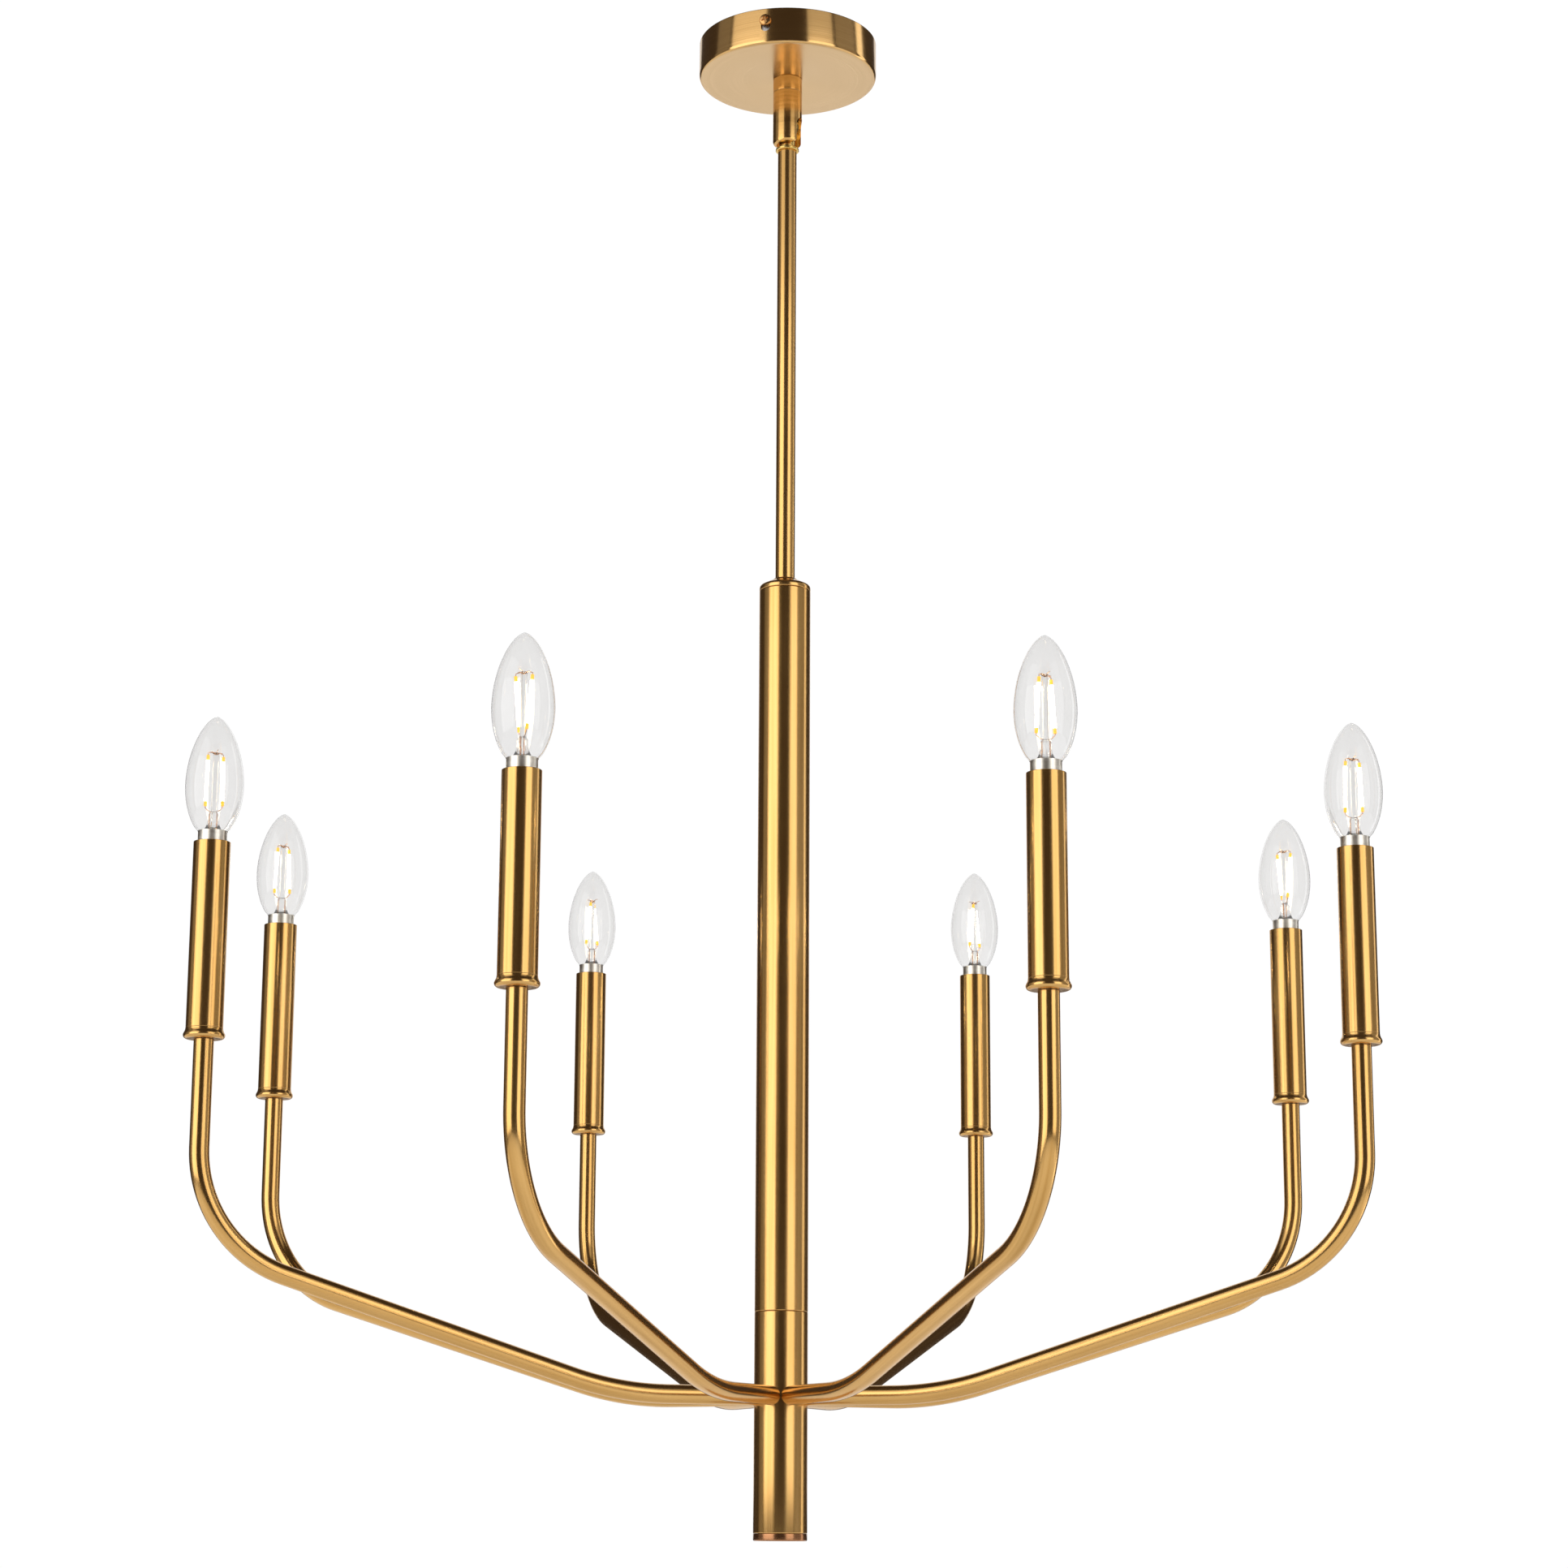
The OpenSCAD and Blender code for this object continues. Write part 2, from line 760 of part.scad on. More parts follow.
// One lamp base: a plated skirt, the screw shell under it, and the tip
module bulb_base(number) {
    skirt_low = lamp_z - base_skirt_l;
    thread_top = skirt_low - base_cone_l;
    thread_low = thread_top - thread_l;
    color(nickel)
        at_cup(number)
            rotate_extrude()
                polygon([
                    [base_r, lamp_z], [base_r - base_wall, lamp_z], [base_r - base_wall, skirt_low + 0.5],
                    [thread_r - base_wall, thread_top], [thread_r - base_wall, thread_low + 1],
                    [0, thread_low + 1], [0, lamp_tip], [tip_r - 0.6, lamp_tip], [tip_r, lamp_tip + 0.8],
                    [tip_r + 0.8, lamp_tip + 1], [thread_r - 0.8, thread_low], [thread_r, thread_low + 0.6],
                    [thread_r, thread_top - 0.2], [base_r, skirt_low]
                ]);
}

ceiling_bracket();
canopy();
canopy_side_screws();
canopy_nipple();
nipple_washer();
nipple_locknut();
supply_leads();
wire_connectors();
swivel_collar();
swivel_socket();
swivel_ball();
stem_rod();
column_cap();
column_tube();
arm_hub();
bottom_cap();
stem_harness();
lamp_holders();
holder_shells();
arm(1);  // arm_1
arm(2);  // arm_2
arm(3);  // arm_3
arm(4);  // arm_4
arm(5);  // arm_5
arm(6);  // arm_6
arm(7);  // arm_7
arm(8);  // arm_8
candle_cup(1);  // candle_cup_1
candle_cup(2);  // candle_cup_2
candle_cup(3);  // candle_cup_3
candle_cup(4);  // candle_cup_4
candle_cup(5);  // candle_cup_5
candle_cup(6);  // candle_cup_6
candle_cup(7);  // candle_cup_7
candle_cup(8);  // candle_cup_8
candle_sleeve(1);  // candle_sleeve_1
candle_sleeve(2);  // candle_sleeve_2
candle_sleeve(3);  // candle_sleeve_3
candle_sleeve(4);  // candle_sleeve_4
candle_sleeve(5);  // candle_sleeve_5
candle_sleeve(6);  // candle_sleeve_6
candle_sleeve(7);  // candle_sleeve_7
candle_sleeve(8);  // candle_sleeve_8
bulb_glass(1);  // bulb_glass_1
bulb_glass(2);  // bulb_glass_2
bulb_glass(3);  // bulb_glass_3
bulb_glass(4);  // bulb_glass_4
bulb_glass(5);  // bulb_glass_5
bulb_glass(6);  // bulb_glass_6
bulb_glass(7);  // bulb_glass_7
bulb_glass(8);  // bulb_glass_8
bulb_base(1);  // bulb_base_1
bulb_base(2);  // bulb_base_2
bulb_base(3);  // bulb_base_3
bulb_base(4);  // bulb_base_4
bulb_base(5);  // bulb_base_5
bulb_base(6);  // bulb_base_6
bulb_base(7);  // bulb_base_7
bulb_base(8);  // bulb_base_8
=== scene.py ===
"""Looks of the eight-arm candle chandelier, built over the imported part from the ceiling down."""

import json
import math
import random

import bmesh
import bpy
from mathutils import Matrix, Vector


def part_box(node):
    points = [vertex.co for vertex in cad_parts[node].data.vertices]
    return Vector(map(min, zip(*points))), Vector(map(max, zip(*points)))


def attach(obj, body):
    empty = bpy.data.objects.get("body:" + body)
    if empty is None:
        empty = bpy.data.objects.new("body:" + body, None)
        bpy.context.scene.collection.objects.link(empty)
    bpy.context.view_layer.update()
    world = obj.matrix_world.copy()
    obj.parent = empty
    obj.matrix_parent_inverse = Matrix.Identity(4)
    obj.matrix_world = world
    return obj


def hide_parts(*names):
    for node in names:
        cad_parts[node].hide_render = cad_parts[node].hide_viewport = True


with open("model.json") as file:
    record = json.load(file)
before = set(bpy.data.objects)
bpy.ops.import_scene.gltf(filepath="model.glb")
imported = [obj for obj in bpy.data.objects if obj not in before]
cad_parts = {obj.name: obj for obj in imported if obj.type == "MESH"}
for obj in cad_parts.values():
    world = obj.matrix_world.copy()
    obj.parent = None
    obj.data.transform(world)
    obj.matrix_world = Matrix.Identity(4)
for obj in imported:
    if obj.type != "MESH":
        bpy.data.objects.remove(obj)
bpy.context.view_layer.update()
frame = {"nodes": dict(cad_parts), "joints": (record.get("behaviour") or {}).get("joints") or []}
random.seed(7)


# ---------------------------------------------------------------- Ceiling strap, nipple, washer and nut
# Zinc-plated steel: a strap with its ends bent down, and the hollow nipple, washer and hexagon nut that
# clamp the swivel to the canopy. Plating leaves a fine cloudy spangle on all four.
def finish(name, tones, rough, stretch, coords="Object", metal=0.0, bump=0.0, spread=0.0, across=False):
    """A surface whose tone, roughness and relief all follow one stretched noise."""
    made = bpy.data.materials.new(name)
    made.use_nodes = True
    tree = made.node_tree
    shader = tree.nodes["Principled BSDF"]
    if coords == "Object":
        place = tree.nodes.new("ShaderNodeTexCoord").outputs["Object"]
    else:
        stored = tree.nodes.new("ShaderNodeAttribute")
        stored.attribute_name = coords
        place = stored.outputs["Vector"]
    mapping = tree.nodes.new("ShaderNodeMapping")
    mapping.inputs["Scale"].default_value = stretch
    tree.links.new(place, mapping.inputs["Vector"])
    grain = tree.nodes.new("ShaderNodeTexNoise")
    grain.inputs["Scale"].default_value = 1.0
    grain.inputs["Detail"].default_value = 3.0
    tree.links.new(mapping.outputs["Vector"], grain.inputs["Vector"])
    cloud = tree.nodes.new("ShaderNodeTexNoise")
    cloud.inputs["Scale"].default_value = 14.0
    cloud.inputs["Detail"].default_value = 4.0
    tree.links.new(place, cloud.inputs["Vector"])
    cloud_share = 0.35
    both = tree.nodes.new("ShaderNodeMath")
    both.operation = "MULTIPLY_ADD"
    both.inputs[1].default_value = cloud_share
    tree.links.new(cloud.outputs["Fac"], both.inputs[0])
    tree.links.new(grain.outputs["Fac"], both.inputs[2])
    ramp = tree.nodes.new("ShaderNodeValToRGB")
    ramp.color_ramp.elements[0].position = 0.45
    ramp.color_ramp.elements[0].color = (*tones[0], 1)
    ramp.color_ramp.elements[1].position = 0.90
    ramp.color_ramp.elements[1].color = (*tones[1], 1)
    tree.links.new(both.outputs[0], ramp.inputs["Fac"])
    tree.links.new(ramp.outputs["Color"], shader.inputs["Base Color"])
    matt = tree.nodes.new("ShaderNodeMapRange")
    matt.inputs["From Min"].default_value = 0.4
    matt.inputs["From Max"].default_value = 0.95
    matt.inputs["To Min"].default_value = rough[0]
    matt.inputs["To Max"].default_value = rough[1]
    tree.links.new(both.outputs[0], matt.inputs["Value"])
    tree.links.new(matt.outputs["Result"], shader.inputs["Roughness"])
    shader.inputs["Metallic"].default_value = metal
    if bump:
        relief = tree.nodes.new("ShaderNodeBump")
        relief.inputs["Strength"].default_value = bump
        relief.inputs["Distance"].default_value = 0.00005
        tree.links.new(grain.outputs["Fac"], relief.inputs["Height"])
        tree.links.new(relief.outputs["Normal"], shader.inputs["Normal"])
    if spread:
        shader.inputs["Anisotropic"].default_value = spread
        shader.inputs["Anisotropic Rotation"].default_value = 0.25 if across else 0.0
        tangent = tree.nodes.new("ShaderNodeTangent")
        tangent.direction_type = "UV_MAP"
        tangent.uv_map = "UVMap"
        tree.links.new(tangent.outputs["Tangent"], shader.inputs["Tangent"])
    return made


def wear(node, material):
    """Gives a CAD piece its finish."""
    piece = frame["nodes"][node]
    piece.data.materials.clear()
    piece.data.materials.append(material)


zinc = finish("zinc_plate", ((0.42, 0.43, 0.45), (0.66, 0.67, 0.69)), (0.24, 0.42), (260, 260, 260),
              metal=1.0, bump=0.25)
for node in ("ceiling_bracket", "canopy_nipple", "nipple_washer", "nipple_locknut"):
    wear(node, zinc)


# ---------------------------------------------------------------- Supply leads and their connectors
# Clear-sheathed cable from the swivel, parted into three leads, each with a ribbed twist-on
# connector moulded in orange plastic.
cable = finish("clear_cable", ((0.62, 0.52, 0.36), (0.80, 0.74, 0.60)), (0.22, 0.34), (90, 90, 420))
wear("supply_leads", cable)
wear("stem_harness", cable)


on_axis = 1e-7


def turned(name, outline, sides=96, closed=True, waves=0, wave_depth=0.0):
    """A piece turned about the Z axis from an outline of (radius, height) points in metres.

    Its UV runs round and along the outline. "grain" keeps the same measures without a seam.
    """
    along = [0.0]
    for (r0, z0), (r1, z1) in zip(outline, outline[1:]):
        along.append(along[-1] + math.hypot(r1 - r0, z1 - z0))
    widest = max(r for r, _ in outline)
    shape = bmesh.new()
    grain = shape.verts.layers.float_vector.new("grain")
    uv = shape.loops.layers.uv.new("UVMap")
    rings = []
    for (r, z), length in zip(outline, along):
        ring = []
        for side in range(sides if r > on_axis else 1):
            angle = 2 * math.pi * side / sides
            reach = r * (1 + wave_depth * math.cos(waves * angle))
            vertex = shape.verts.new((reach * math.cos(angle), reach * math.sin(angle), z))
            vertex[grain] = (widest * math.cos(angle), widest * math.sin(angle), length)
            ring.append(vertex)
        rings.append(ring)
    pairs = [(k, k + 1) for k in range(len(rings) - 1)]
    if closed and len(rings[0]) > 1 and len(rings[-1]) > 1:
        pairs.append((len(rings) - 1, 0))
    for low, high in pairs:
        v0 = along[low]
        v1 = along[high] if high else v0 + 0.001
        for side in range(sides):
            after = (side + 1) % sides
            a, b = rings[low], rings[high]
            corners = [(a[side % len(a)], side, v0), (a[after % len(a)], side + 1, v0),
                       (b[after % len(b)], side + 1, v1), (b[side % len(b)], side, v1)]
            kept = [c for k, c in enumerate(corners) if c[0] not in [d[0] for d in corners[:k]]]
            if len(kept) < 3:
                continue
            face = shape.faces.new([c[0] for c in kept])
            for loop, (_, step, v) in zip(face.loops, kept):
                loop[uv].uv = (step / sides, v)
    bmesh.ops.recalc_face_normals(shape, faces=shape.faces)
    mesh = bpy.data.meshes.new(name)
    shape.to_mesh(mesh)
    shape.free()
    return settled(bpy.data.objects.new(name, mesh))


def settled(piece, edge=32):
    """Puts a piece in the scene, smooth except where its faces meet at more than that many degrees."""
    piece.data.shade_smooth()
    piece.data.set_sharp_from_angle(angle=math.radians(edge))
    if piece.name not in bpy.context.scene.collection.objects:
        bpy.context.scene.collection.objects.link(piece)
    return piece


def eased(outline, radius, steps=4):
    """The outline with each corner rounded, by less where the straights are short."""
    made = []
    for k, (r, z) in enumerate(outline):
        if k in (0, len(outline) - 1) and (outline[0][0] < on_axis or outline[-1][0] < on_axis):
            made.append((r, z))
            continue
        here = Vector((r, z))
        back = Vector(outline[k - 1]) - here
        on = Vector(outline[(k + 1) % len(outline)]) - here
        trim = min(radius, back.length * 0.45, on.length * 0.45)
        if trim < 1e-6 or abs(back.normalized().dot(on.normalized())) > 0.995:
            made.append((r, z))
            continue
        start, end = here + back.normalized() * trim, here + on.normalized() * trim
        for step in range(steps + 1):
            t = step / steps
            made.append(tuple(start * (1 - t) ** 2 + here * 2 * t * (1 - t) + end * t * t))
    return made


def cut(piece, tool):
    """Cuts the tool out of the piece."""
    knife = piece.modifiers.new("cut", "BOOLEAN")
    knife.operation = "DIFFERENCE"
    knife.solver = "EXACT"
    knife.object = tool
    graph = bpy.context.evaluated_depsgraph_get()
    mesh = bpy.data.meshes.new_from_object(piece.evaluated_get(graph))
    piece.modifiers.clear()
    piece.data = mesh
    bpy.data.objects.remove(tool)
    return settled(piece)


orange = finish("orange_plastic", ((0.62, 0.19, 0.03), (0.80, 0.28, 0.05)), (0.38, 0.50), (300, 300, 300),
                bump=0.3)
low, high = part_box("wire_connectors")
lead_height = (low.z + high.z) / 2
connector_r = (high.z - low.z) / 2
connector_l, mouth_reach, lead_r = 0.022, 0.022, 0.0011
for number, angle in enumerate((60, -60, 180), start=1):
    shape = [(lead_r, 0.0), (lead_r, 0.003), (0.0040, 0.0004), (connector_r * 0.96, 0.0),
             (connector_r * 0.96, 0.0035), (connector_r * 0.88, 0.0045),
             (connector_r * 0.66, connector_l - 0.0005), (connector_r * 0.45, connector_l), (0.0, connector_l)]
    nut = turned(f"connector_{number}", eased(shape, 0.0006), sides=96, closed=False,
                 waves=12, wave_depth=0.035)
    nut.data.transform(Matrix.Rotation(math.radians(angle), 4, "Z")
                       @ Matrix.Translation((mouth_reach, 0, lead_height))
                       @ Matrix.Rotation(math.pi / 2, 4, "Y"))
    nut.data.materials.append(orange)
    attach(nut, "ceiling_mount")
    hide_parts("wire_connectors")


# ---------------------------------------------------------------- Canopy
# Shallow cup spun from brass sheet, brushed round its axis and lacquered satin. Two upright slots
# in its rim let it slide up over the screws in the strap's ears.
def pushed_tool(outline, push):
    """A cutting tool: a flat outline pushed straight along into a closed solid."""
    plan = bmesh.new()
    rim = plan.faces.new([plan.verts.new(point) for point in outline])
    grown = bmesh.ops.extrude_face_region(plan, geom=[rim])
    moved = [v for v in grown["geom"] if isinstance(v, bmesh.types.BMVert)]
    bmesh.ops.translate(plan, verts=moved, vec=push)
    bmesh.ops.recalc_face_normals(plan, faces=plan.faces)
    mesh = bpy.data.meshes.new("pushed_tool")
    plan.to_mesh(mesh)
    plan.free()
    return settled(bpy.data.objects.new("pushed_tool", mesh))


brass_dark, brass_light = (0.60, 0.335, 0.100), (0.76, 0.460, 0.165)
spun_brass = finish("brass_spun", ((0.62, 0.365, 0.130), (0.76, 0.475, 0.190)), (0.13, 0.20), (3, 3, 1400),
                    coords="grain", metal=1.0, bump=0.02, spread=0.55, across=True)
low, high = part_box("canopy")
canopy_r, canopy_low = high.y, low.z
wall, edge, hole_r = 0.0012, 0.0020, 0.0052
shape = [(hole_r, canopy_low), (canopy_r - edge, canopy_low),
         (canopy_r - edge * 0.3, canopy_low + edge * 0.3),
         (canopy_r, canopy_low + edge), (canopy_r, 0.0), (canopy_r - wall, 0.0),
         (canopy_r - wall, canopy_low + edge), (canopy_r - edge, canopy_low + wall),
         (hole_r, canopy_low + wall)]
canopy = turned("canopy_cup", eased(shape, 0.0009), sides=256)
slot_w, slot_top, slot_low = 0.0064, -0.005, -0.016
start_out, push_in, slot_steps = 0.003, 0.008, 48
for side in (-1, 1):
    outline = []
    for step in range(slot_steps):
        angle = 2 * math.pi * step / slot_steps
        centre = slot_top - slot_w / 2 if math.sin(angle) > 0 else slot_low + slot_w / 2
        outline.append((slot_w / 2 * math.cos(angle), side * (canopy_r + start_out),
                        centre + slot_w / 2 * math.sin(angle)))
    cut(canopy, pushed_tool(outline, (0, -side * push_in, 0)))
# The canopy's underside gets a paler, less saturated brass than its sides: painted reflection of the pale
# floor below.
underside_brass = finish("brass_underside_painted_reflection", ((0.64, 0.43, 0.215), (0.74, 0.515, 0.275)), (0.20, 0.28), (3, 3, 1400),
                     coords="grain", metal=1.0, bump=0.02, spread=0.55, across=True)
canopy.data.materials.append(spun_brass)
canopy.data.materials.append(underside_brass)
# The flat downward faces of the bottom take that paler tone, the painted floor reflection.
for face in canopy.data.polygons:
    if face.normal.z < -0.9 and face.center.z < canopy_low + wall / 2:
        face.material_index = 1
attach(canopy, "ceiling_mount")
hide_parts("canopy")


# ---------------------------------------------------------------- Canopy side screws
# Two pan-head machine screws with a cross recess, brass plated and a little redder than the canopy.
# They pass through the slots in its rim and hold it to the strap's tapped ears.
def block_tool(place):
    """A cutting tool: a unit block stretched and placed by that matrix."""
    block = bmesh.new()
    bmesh.ops.create_cube(block, size=1.0)
    mesh = bpy.data.meshes.new("block_tool")
    block.to_mesh(mesh)
    block.free()
    mesh.transform(place)
    return settled(bpy.data.objects.new("block_tool", mesh))


screw_brass = finish("brass_screw", ((0.46, 0.22, 0.07), (0.70, 0.40, 0.16)), (0.16, 0.30), (900, 900, 900),
                     metal=1.0, bump=0.2)
low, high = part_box("canopy_side_screws")
screw_z, head_r = (low.z + high.z) / 2, (high.z - low.z) / 2
head_h, shank_r, shank_l = high.y - canopy_r, 0.0019, 0.009
thread, thread_depth, under_head = 0.0005, 0.00025, 0.00003
recess_w, recess_depth, recess_turn = 0.0011, 0.0012, 0.4
for number, side in enumerate((-1, 1), start=1):
    shape = [(0.0, -shank_l), (shank_r - 0.0004, -shank_l)]
    for turn in range(int(shank_l / thread) - 1):
        shape.append((shank_r, -shank_l + (turn + 0.5) * thread))
        shape.append((shank_r - thread_depth, -shank_l + (turn + 1) * thread))
    shape += [(shank_r, under_head), (head_r - 0.0003, under_head), (head_r, 0.0004),
              (head_r * 0.97, head_h * 0.55), (head_r * 0.86, head_h * 0.80), (head_r * 0.62, head_h * 0.94),
              (head_r * 0.3, head_h * 0.99), (0.0, head_h)]
    screw = turned(f"side_screw_{number}", shape, sides=48)
    for turn in (recess_turn, recess_turn + math.pi / 2):
        cut(screw, block_tool(Matrix.Rotation(turn, 4, "Z") @ Matrix.Translation((0, 0, head_h))
                              @ Matrix.Diagonal((head_r * 1.15, recess_w, recess_depth * 2, 1))))
    screw.data.transform(Matrix.Translation((0, side * canopy_r, screw_z))
                         @ Matrix.Rotation(-side * math.pi / 2, 4, "X"))
    screw.data.materials.append(screw_brass)
    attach(screw, "ceiling_mount")
    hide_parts("canopy_side_screws")


# ---------------------------------------------------------------- Swivel collar and socket
# Two lengths of turned brass bar that meet at a fine line. The collar has two spanner flats; the
# socket is bored for the ball and slotted down one side so that the neck can swing up.
turned_brass = finish("brass_turned", (brass_dark, brass_light), (0.15, 0.22), (20, 20, 420), coords="grain",
                      metal=1.0, bump=0.015, spread=0.3, across=False)
low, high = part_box("swivel_collar")
collar_top, swivel_r = high.z, high.y
socket_low, socket_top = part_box("swivel_socket")[0].z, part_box("swivel_socket")[1].z
collar_bore_r = 0.00505
collar = turned("collar", eased([(collar_bore_r, collar_top), (collar_bore_r, socket_top),
                                 (swivel_r, socket_top), (swivel_r, collar_top)], 0.00035), sides=128)
flat_turn, flat_h, flat_depth = math.radians(-35.6), 0.008, 0.001
tool_t, tool_over = 0.004, 0.002
for turn in (flat_turn, flat_turn + math.pi):
    cut(collar, block_tool(Matrix.Rotation(turn, 4, "Z")
                           @ Matrix.Translation((0, -swivel_r - tool_t / 2 + flat_depth,
                                                 collar_top - flat_h / 2 + tool_over / 2))
                           @ Matrix.Diagonal((swivel_r * 3, tool_t, flat_h + tool_over, 1))))
collar.data.materials.append(turned_brass)
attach(collar, "ceiling_mount")
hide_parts("swivel_collar")

ball_z = next(joint["pos_m"][2] for joint in frame["joints"] if joint["name"] == "stem_swing")
chamber_r, mouth_r, line_gap = 0.0076, 0.0058, 0.0001
shape = [(mouth_r + 0.0014, socket_low), (swivel_r - 0.0022, socket_low),
         (swivel_r - 0.0007, socket_low + 0.0006), (swivel_r, socket_low + 0.0022),
         (swivel_r, socket_top - line_gap), (chamber_r, socket_top - line_gap),
         (chamber_r, ball_z), (chamber_r * 0.93, ball_z - 0.0027), (mouth_r, ball_z - 0.0048)]
socket = turned("socket", eased(shape, 0.0004), sides=128)
way_r, way_steps, below, past = mouth_r - 0.0001, 32, 0.003, 0.004
outline = []
for step in range(way_steps + 1):
    angle = math.pi * step / way_steps
    outline.append((0.0, way_r * math.cos(angle), ball_z + way_r * math.sin(angle)))
outline += [(0.0, -way_r, socket_low - below), (0.0, way_r, socket_low - below)]
cut(socket, pushed_tool(outline, (swivel_r + past, 0, 0)))
socket.data.materials.append(turned_brass)
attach(socket, "ceiling_mount")
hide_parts("swivel_socket")


# ---------------------------------------------------------------- Swivel ball, neck and flange
# One turned piece: a polished ball that seats in the socket, a neck left rough from the lathe and
# a thin flange that the stem rod butts against.
rough_brass = finish("brass_rough", ((0.70, 0.44, 0.11), (0.90, 0.66, 0.24)), (0.20, 0.38), (200, 200, 2400),
                     coords="grain", metal=1.0, bump=0.5)
low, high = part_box("swivel_ball")
ball_r, neck_r, flange_r, bore_r, spigot_r = 0.0075, 0.0053, high.y, 0.003, 0.0049
flange_t, rod_gap = 0.0024, 0.00006
flange_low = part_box("stem_rod")[1].z
flange_top = flange_low + flange_t
shape = [(bore_r, ball_z + math.sqrt(ball_r ** 2 - bore_r ** 2))]
crown, turn_down = 66, 4.65
for step in range(25):
    angle = math.radians(crown - step * turn_down)
    shape.append((ball_r * math.cos(angle), ball_z + ball_r * math.sin(angle)))
shape += [(neck_r, ball_z - 0.0058), (neck_r, flange_top + 0.0004), (neck_r + 0.0004, flange_top),
          (flange_r - 0.0008, flange_top), (flange_r, flange_top - 0.0008), (flange_r, flange_low + 0.0005),
          (flange_r - 0.0005, flange_low + rod_gap), (spigot_r, flange_low + rod_gap), (spigot_r, low.z),
          (bore_r, low.z)]
ball = turned("ball_and_neck", shape, sides=96)
ball.data.materials.append(rough_brass)
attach(ball, "ball")
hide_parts("swivel_ball")


# ---------------------------------------------------------------- Stem rod
# Plain brass tube, brushed along its length, from the swivel down into the column's cap. Its top
# goes over the spigot under the ball and up against the flange.
long_brass = finish("brass_brushed", (brass_dark, brass_light), (0.16, 0.22), (420, 420, 6), coords="grain",
                    metal=1.0, bump=0.015, spread=0.35, across=False)
low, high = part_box("stem_rod")
rod_r, rod_bore_r = high.y, 0.005
shape = [(rod_r, low.z), (rod_r, high.z), (rod_bore_r, high.z), (rod_bore_r, low.z)]
rod = turned("rod", eased(shape, 0.0003), sides=96)
rod.data.materials.append(long_brass)
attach(rod, "stem")
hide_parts("stem_rod")


# ---------------------------------------------------------------- Column cap
# Turned brass: a low cone with a thin bright lip round the rod, a rounded shoulder and a short
# rim that stands on the column tube at a fine line.
low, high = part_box("column_cap")
column_r, cap_top = high.y, high.z
tube_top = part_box("column_tube")[1].z
rim_top, skirt_low, shoulder = cap_top - 0.0062, cap_top - 0.010, 0.0026
cap_hole_r, skirt_r, seam = rod_r + 0.0001, column_r - 0.003, 0.00005
shape = [(cap_hole_r, skirt_low), (skirt_r, skirt_low), (skirt_r, tube_top + seam),
         (column_r - 0.0004, tube_top + seam), (column_r, tube_top + 0.00045), (column_r, rim_top - 0.0006)]
for step in range(7):
    angle = math.radians(10 * step)
    shape.append((column_r - shoulder + shoulder * math.cos(angle),
                  rim_top - 0.0004 + shoulder * math.sin(angle)))
shape += [(rod_r + 0.0019, cap_top - 0.0009), (rod_r + 0.0015, cap_top - 0.0002), (rod_r + 0.0010, cap_top),
          (cap_hole_r, cap_top - 0.0001)]
cap = turned("cap", eased(shape, 0.0003), sides=160)
cap.data.materials.append(turned_brass)
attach(cap, "stem")
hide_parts("column_cap")


# ---------------------------------------------------------------- Column tube and arm hub
# Two lengths of brass tube of one diameter, brushed along their length. The upper one pushes over a
# spigot on the lower one, which is drilled for the arms, and they meet at a fine line.
low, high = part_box("column_tube")
tube_low, tube_bore_r, hub_bore_r = low.z, column_r - 0.002, column_r - 0.003
shape = [(column_r, tube_low), (column_r, high.z), (tube_bore_r, high.z), (tube_bore_r, tube_low)]
tube = turned("column_upper", eased(shape, 0.0006), sides=192)
tube.data.materials.append(long_brass)
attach(tube, "stem")
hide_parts("column_tube")

hub_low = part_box("arm_hub")[0].z
shape = [(column_r, hub_low), (column_r, tube_low - seam),
         (hub_bore_r, tube_low - seam), (hub_bore_r, hub_low)]
hub = turned("column_lower", eased(shape, 0.0006), sides=192)
hub.data.materials.append(long_brass)
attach(hub, "stem")
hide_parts("arm_hub")


# ---------------------------------------------------------------- Bottom cap
# Copper-toned cap screwed into the column's foot. Its rim shows as a narrow redder ring, and its
# flat face is faced on the lathe.
copper = finish("copper_satin", ((0.36, 0.16, 0.070), (0.50, 0.25, 0.12)), (0.20, 0.30), (3, 3, 900),
                coords="grain", metal=1.0, bump=0.03, spread=0.4, across=True)
low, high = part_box("bottom_cap")
foot_z, foot_edge, foot_t = low.z, 0.0006, 0.0025
plug_r, plug_bore_r = column_r - 0.0031, column_r - 0.0052
shape = [(0.0, foot_z), (column_r - foot_edge, foot_z), (column_r, foot_z + foot_edge),
         (column_r, hub_low - seam), (plug_r, hub_low - seam), (plug_r, high.z),
         (plug_bore_r, high.z), (plug_bore_r, foot_z + foot_t), (0.0, foot_z + foot_t)]
bottom = turned("foot_cap", eased(shape, 0.0003), sides=192)
bottom.data.materials.append(copper)
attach(bottom, "stem")
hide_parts("bottom_cap")


